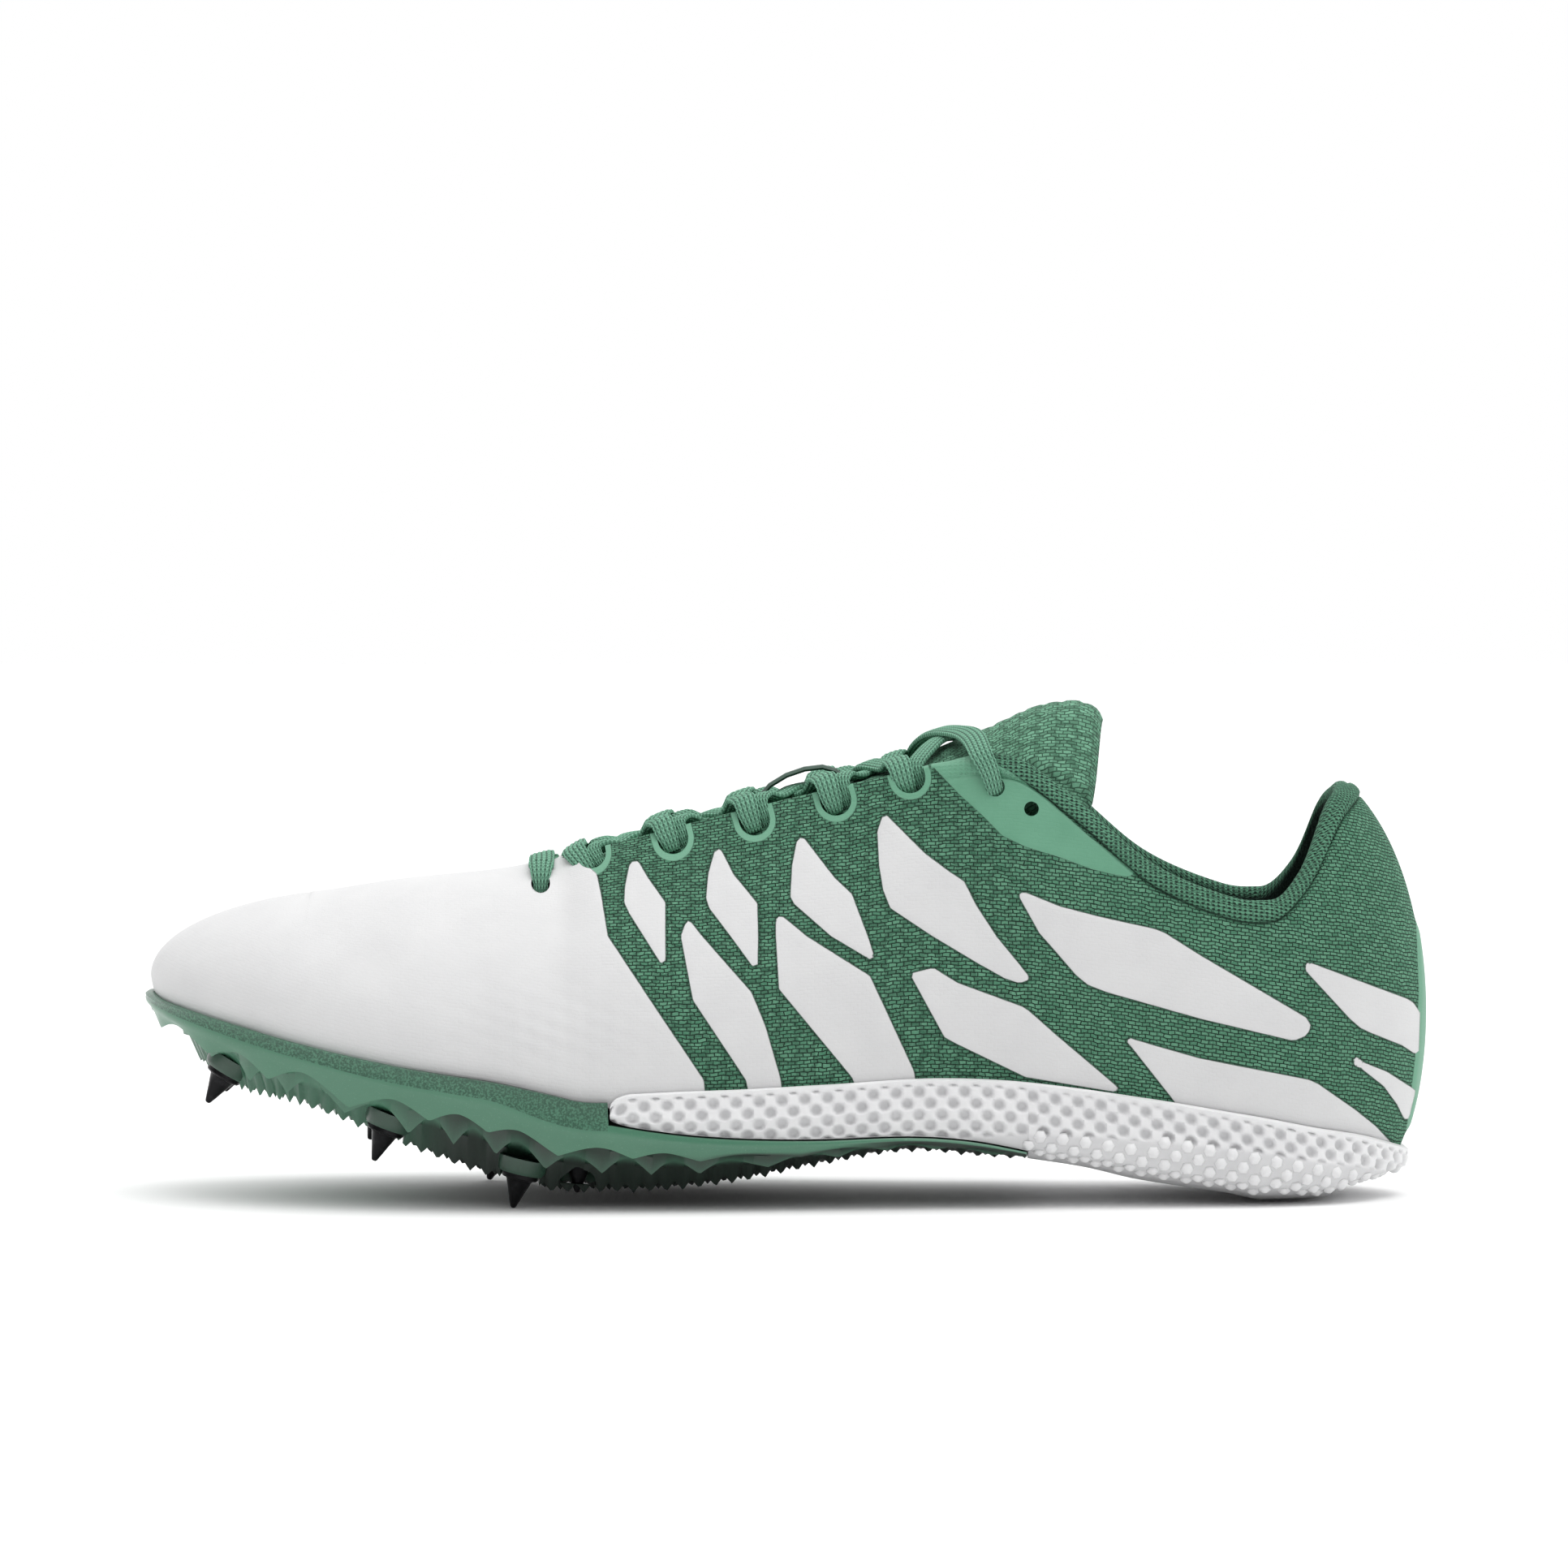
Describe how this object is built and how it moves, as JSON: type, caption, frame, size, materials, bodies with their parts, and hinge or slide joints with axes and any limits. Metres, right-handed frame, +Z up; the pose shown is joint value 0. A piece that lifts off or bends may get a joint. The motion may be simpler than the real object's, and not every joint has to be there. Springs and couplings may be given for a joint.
{
  "type": "track spike shoe",
  "caption": "Low track spike shoe for the left foot: knit upper with white film panels, hard lugged spike plate under the forefoot, foam midsole and heel, laced throat and padded tongue.",
  "frame": {"origin": "on the ground under the middle of the shoe's length and width", "axes": "+X from the toe to the heel along the foot, +Y towards the medial (inner) side, +Z up"},
  "size_m": [0.2832, 0.0916, 0.1095],
  "materials": {
    "plate": "hard green plastic with a satin gloss",
    "foam": "white moulded foam, matt, dimpled",
    "knit": "green ribbed knit with white matt film panels",
    "insole": "dark brushed textile over foam",
    "spike": "black coated steel",
    "film": "thin smooth green film, glossy",
    "lace": "green flat braided lace"
  },
  "bodies": {
    "root": {"outsole_plate": "plate", "midsole_foam": "foam", "upper": "knit", "insole": "insole", "tongue": "knit", "spike_toe_lateral": "spike", "spike_toe_medial": "spike", "spike_front_lateral": "spike", "spike_front_medial": "spike", "spike_ball_lateral": "spike", "spike_ball_medial": "spike", "spike_rear_lateral": "spike", "spike_rear_medial": "spike", "eyelet_film_2_lateral": "film", "eyelet_film_2_medial": "film", "eyelet_film_3_lateral": "film", "eyelet_film_3_medial": "film", "eyelet_film_4_lateral": "film", "eyelet_film_4_medial": "film", "eyelet_film_5_lateral": "film", "eyelet_film_5_medial": "film", "top_film_lateral": "film", "top_film_medial": "film", "lace_keeper": "film", "lace_bar": "lace", "lace_crossing_2": "lace", "lace_crossing_3": "lace", "lace_crossing_4": "lace", "lace_crossing_5": "lace", "lace_crossing_top": "lace"}
  },
  "joints": []
}
